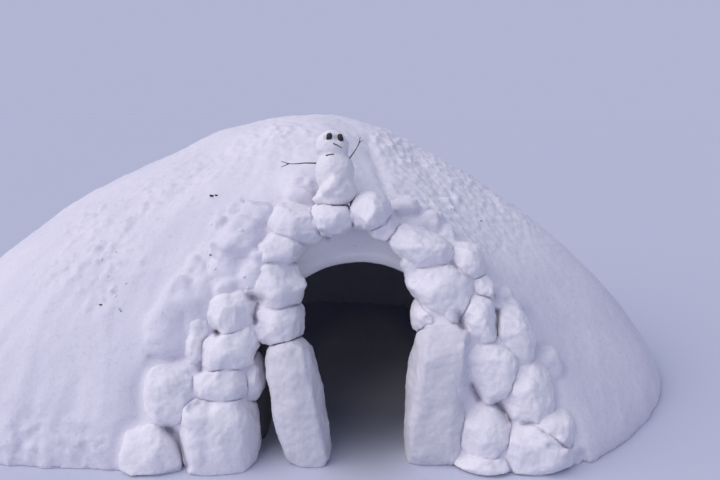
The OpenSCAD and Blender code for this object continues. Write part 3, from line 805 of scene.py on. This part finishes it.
def make_lump(k, name):
    """A lump or slab, from its solid to the finished piece."""
    rng = np.random.default_rng(500 + k)
    slab, square = name in SLABS, name in SQUARE
    knobs = []
    for pixel, radii, sunk in KNOBS.get(name, []):
        knobs.append(clod(spots([pixel])[0] + [0, sunk * radii[1], 0], radii, 0, 30 + k, 0.10))
    solid = joined([cad_parts[name]] + knobs)
    mesh = filled(solid, KNOB_FILL, LUMP_VOXEL) if knobs else remeshed(solid, LUMP_VOXEL)
    p, edges = arrays(mesh)
    p = relaxed(p, edges, 6, keep=0.50)
    half = (p.max(0) - p.min(0)) / 2
    sides, depth = PLANED_SQUARE if square else PLANED_ROUND
    p = broken(p, rng, sides, depth, min(half[0], half[2]))
    p = relaxed(p, edges, SLAB_ROUNDS if slab else LUMP_ROUNDS, keep=0.50)
    p = swollen(mesh, p, edges, tree(neighbours(name)))
    place(mesh, p)
    nrm = normals(mesh)
    share = SLAB_SHARE if slab else SQUARE_SHARE if square else 1.0
    rough = ((SLAB_BROAD_H if slab else BROAD_H) * layered(p, 0.15, 2, 0.6, seed=40 + k)
             + FOLD_H * share * layered(p, 0.055, 2, 0.5, seed=80 + k, fold=True)
             + FINE_H * share * layered(p, 0.032, 2, 0.9, seed=120 + k))
    p = p + nrm * (rough - SMALLER)[:, None]
    # the feet are sunk in, so they stand on a broad base
    sunk = FOOT_SUNK if p[:, 2].max() > 0.3 else 0.0
    p[:, 2] = np.maximum(p[:, 2] - sunk * (1 - step(0.0, FOOT_TOP, p[:, 2])), 0.0)
    if not slab:
        p = dented(p, share=0.6, wider=0.8)
        p[:, 2] = np.maximum(p[:, 2], 0.0)
    place(mesh, p)
    piece(name + "_snow", mesh, "lump_snow", shaded_slab_snow if slab else lump_snow, name)


for k, name in enumerate(LUMPS):
    make_lump(k, name)

# ---- crumbs and bits of bark, each set on the snow that shows at its pixel
CRUMBS = [
    (3, 7, (206, 204, 262, 292), (0.008, 0.015), 1.20, 0.35),
    (5, 5, (395, 208, 458, 236), (0.008, 0.016), 1.20, 0.35),
    (6, 6, (96, 228, 132, 298), (0.008, 0.014), 1.15, 0.35),
]
# as (pixel, size)
BITS = [((212, 196), 0.014), ((216.5, 195.4), 0.010), ((211, 255), 0.008), ((101, 305), 0.009),
        ((447, 246), 0.006), ((481, 221), 0.006)]
snow_skin = surface_of(mound.data)
piece("crumbs", joined([c for group in CRUMBS for c in strewn(snow_skin, *group)]), "packed_snow", lump_snow)

# ---- the figure: three balls pressed together, on a heap of loose snow
BALLS = ["figure_base", "figure_body", "figure_head"]
HEAD_ASIDE = 0.014                      # how far the head sits to one side
FIGURE_FILL, FIGURE_VOXEL = 0.013, 0.005
# the loose snow before it, as (pixel, radii, how far behind the base's own front)
PILE = [((335, 183), (0.034, 0.05, 0.034), -0.02), ((331, 189), (0.050, 0.055, 0.036), 0),
        ((339, 189), (0.050, 0.055, 0.036), 0), ((333, 194), (0.082, 0.06, 0.034), 0.03),
        ((332, 199), (0.100, 0.060, 0.030), 0.03)]


def make_figure():
    """The figure's snow, from its solids to the finished piece."""
    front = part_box("figure_base")[0][1] + 0.030
    pile = [clod(seen_at(px, py, front + back), radii, 0, 140 + k)
            for k, ((px, py), radii, back) in enumerate(PILE)]
    mesh = filled(joined([triangles_of(n) for n in BALLS] + pile), FIGURE_FILL, FIGURE_VOXEL)
    p, edges = arrays(mesh)
    p = relaxed(p, edges, 7, keep=0.50)
    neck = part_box("figure_head")[0][2]
    p[:, 0] -= HEAD_ASIDE * step(neck - 0.01, neck + 0.05, p[:, 2])
    place(mesh, p)
    rough = (0.0055 * layered(p, 0.08, 2, 0.5, seed=200) + 0.0022 * layered(p, 0.030, 2, 0.5, seed=210, fold=True)
             + 0.0010 * layered(p, 0.014, 2, 0.6, seed=220))
    place(mesh, p + normals(mesh) * rough[:, None])
    return piece("snow_figure", mesh, "figure_snow", figure_snow, *BALLS)


figure_skin = surface_of(make_figure().data)


ROD_UNEVEN, TWIG_CROOKED = 0.0006, 0.0012


def rod(path, radii, seed, sides=8):
    """A thin bent rod along the points, closed at both ends."""
    path = np.array(path)
    points, faces = [], []
    for i, at in enumerate(path):
        way = path[min(i + 1, len(path) - 1)] - path[max(i - 1, 0)]
        way /= np.linalg.norm(way)
        a = np.cross(way, (0.3, 1.0, 0.2))
        a /= np.linalg.norm(a)
        b = np.cross(way, a)
        for k in range(sides):
            t = 2 * math.pi * k / sides
            points.append(at + radii[i] * (math.cos(t) * a + math.sin(t) * b))
    rings = len(path)
    for i in range(rings - 1):
        for k in range(sides):
            m = (k + 1) % sides
            faces.append((i * sides + k, i * sides + m, (i + 1) * sides + m, (i + 1) * sides + k))
    faces.append(tuple(reversed(range(sides))))
    faces.append(tuple((rings - 1) * sides + k for k in range(sides)))
    p = np.array(points)
    return p + ROD_UNEVEN * np.stack([noise(p, 0.012, seed + k) for k in range(3)], 1), faces


def twig_through(pixels, y, thick, seed, steps=6):
    """A twig through the pixels in the plane at y, thinner towards its end, a little crooked."""
    corners = [seen_at(px, py, y) for px, py in pixels]
    path = []
    for i in range(len(corners) - 1):
        before, after = corners[max(i - 1, 0)], corners[min(i + 2, len(corners) - 1)]
        for k in range(steps):
            t = k / steps
            a, b = corners[i], corners[i + 1]
            path.append(0.5 * (2 * a + (b - before) * t + (2 * before - 5 * a + 4 * b - after) * t * t
                               + (3 * a - before - 3 * b + after) * t ** 3))
    path.append(corners[-1])
    path = np.array(path)
    path += TWIG_CROOKED * np.stack([noise(path, 0.03, seed + 3 + k) for k in range(3)], 1)
    share = np.linspace(0, 1, len(path))
    return rod(path, thick * (1 - 0.55 * share) / 2, seed)


def lying_twig(pixels, thick, seed):
    """A twig pressed into the figure, along the points of it that show at the pixels."""
    path = []
    for px, py in pixels:
        at, normal = met(figure_skin, px, py)
        path.append(at + normal * thick * 0.25)
    return rod(path, [thick / 2 * (1 - 0.4 * k / (len(path) - 1)) for k in range(len(path))], seed)


# each arm is a twig with a fork of two, as (pixels along it, thickness, seed)
ARMS = [
    ([(321, 163.2), (306, 163.0), (297, 163.8), (288, 163.6)], 0.0080, 401),
    ([(289, 163.6), (285, 162.6), (281, 161.2)], 0.0056, 402),
    ([(289, 163.7), (285.5, 165.2), (281.4, 167)], 0.0056, 403),
    ([(342, 163), (348, 159.5), (353.5, 153), (358, 145.5)], 0.0084, 404),
    ([(357.7, 146.1), (359.5, 141.5), (360, 136.5)], 0.0056, 405),
    ([(359.2, 143.0), (361, 141.2), (363, 140.4)], 0.0048, 406),
]
MOUTH = [
    ([(333.2, 143.4), (335.2, 144.4), (337.4, 145.2), (339.4, 146.6), (341.6, 147.6)], 0.0055, 421),
    ([(326.2, 155.6), (328.4, 155.1), (331, 154.6), (333.6, 154.2)], 0.0070, 422),
]
# as (pixel, turn)
EYES, EYE_RADII = [((329.4, 137.0), 8), ((340.2, 137.9), -10)], (0.0150, 0.0120, 0.0190)


def clods_on(surface, rows, out, seed, uneven):
    """Small clods on a surface, from rows of (pixel, radii, turn), standing out by a little."""
    made = []
    for k, ((px, py), radii, turn) in enumerate(rows):
        at, normal = met(surface, px, py)
        made.append(clod(at + normal * out, radii, turn, seed + k, uneven))
    return joined(made)


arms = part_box("figure_arms")
arm_y = (arms[0][1] + arms[1][1]) / 2
piece("twig_arms", joined([twig_through(pixels, arm_y, thick, seed) for pixels, thick, seed in ARMS]),
      "twig", twig, "figure_arms")
piece("pebble_eyes", clods_on(figure_skin, [(pixel, EYE_RADII, turn) for pixel, turn in EYES], 0.003, 150, 0.30),
      "pebble", pebble, "figure_eyes")
piece("twig_mouth", joined([lying_twig(*row) for row in MOUTH]), "twig", twig, "figure_mouth")
flakes = [(pixel, (size, size * 0.5, size * 0.35), 12) for pixel, size in BITS]
piece("bark_bits", clods_on(snow_skin, flakes, 0.002, 160, 0.35), "twig", twig)

# ---- floor, backdrop and light
FLOOR, FLOOR_HALF = (0.60, 0.625, 0.735), 120
# painted shade on the floor inside the shelter: its tone at the door and deep inside, and the middle and half
# widths of its patch
PAINTED_SHADE_FRONT, PAINTED_SHADE_BACK = (0.27, 0.28, 0.34), (0.86, 0.85, 0.86)
PAINTED_SHADE_MIDDLE, PAINTED_SHADE_HALF = (DOOR_X + 0.05, CROWN[1] - 0.2, 0), (0.66, 1.95)
SKY_LIGHT, SKY_STRENGTH, SKY_SEEN = (0.78, 0.855, 1.20), 0.43, (0.4401, 0.4627, 0.6476)
SUN_COLOUR, SUN_STRENGTH, SUN_WIDE, SUN_FROM = (1.05, 0.98, 0.96), 1.72, math.radians(65), (-0.62, -0.38, 0.69)

m = bpy.data.materials.new("floor")
net = Net(m)
where = net.add("TexCoord").outputs["Object"]
# painted shade on the floor of the passage and the hollow, darkest at the door and paler further in
apart = net.add("VectorMath", {0: where, 1: PAINTED_SHADE_MIDDLE}, operation="SUBTRACT")
scaled = net.add("VectorMath", {0: apart.outputs[0], 1: (1 / PAINTED_SHADE_HALF[0], 1 / PAINTED_SHADE_HALF[1], 0)},
                 operation="MULTIPLY")
length = net.add("VectorMath", {0: scaled.outputs[0]}, operation="LENGTH")
fade = net.add("MapRange", {"From Min": 0.45, "From Max": 0.84, "Value": length.outputs["Value"]},
               interpolation_type="SMOOTHSTEP")
axes = net.add("SeparateXYZ", {0: where})
deeper = net.add("MapRange", {"From Min": CROWN[1] - 0.9, "From Max": CROWN[1] + 0.3, "Value": axes.outputs["Y"]})
painted_floor_shade = net.mixed(PAINTED_SHADE_FRONT, PAINTED_SHADE_BACK, deeper.outputs["Result"])
net.feed(net.nodes["Principled BSDF"], {
    "Base Color": net.mixed(painted_floor_shade, FLOOR, fade.outputs["Result"]), "Roughness": 0.9, "Specular IOR Level": 0.1})
corners = [(-FLOOR_HALF, -FLOOR_HALF, 0), (FLOOR_HALF, -FLOOR_HALF, 0), (FLOOR_HALF, FLOOR_HALF, 0),
           (-FLOOR_HALF, FLOOR_HALF, 0)]
floor_mesh = bpy.data.meshes.new("floor")
floor_mesh.from_pydata(corners, [], [(0, 1, 2, 3)])
floor_mesh.materials.append(m)
floor = bpy.data.objects.new("floor", floor_mesh)
floor.location.z = -0.001
bpy.context.scene.collection.objects.link(floor)

world = bpy.data.worlds.new("sky")
bpy.context.scene.world = world
net = Net(world)
sky = net.nodes["Background"]
net.feed(sky, {"Color": (*SKY_LIGHT, 1), "Strength": SKY_STRENGTH})
# the camera and glossy surfaces see the backdrop's own colour
seen = net.add("Background", {"Color": (*SKY_SEEN, 1)})
ray = net.add("LightPath")
either = net.add("Math", {0: ray.outputs["Is Camera Ray"], 1: ray.outputs["Is Glossy Ray"]}, operation="MAXIMUM")
choose = net.add("MixShader", {0: either.outputs[0], 1: sky.outputs[0], 2: seen.outputs[0]})
net.feed(net.nodes["World Output"], {"Surface": choose.outputs[0]})

sun = bpy.data.objects.new("sun", bpy.data.lights.new("sun", "SUN"))
sun.data.energy = SUN_STRENGTH
sun.data.angle = SUN_WIDE
sun.data.color = SUN_COLOUR
sun.rotation_euler = Vector(SUN_FROM).to_track_quat("Z", "Y").to_euler()
bpy.context.scene.collection.objects.link(sun)
bpy.context.scene.view_settings.view_transform = "Standard"
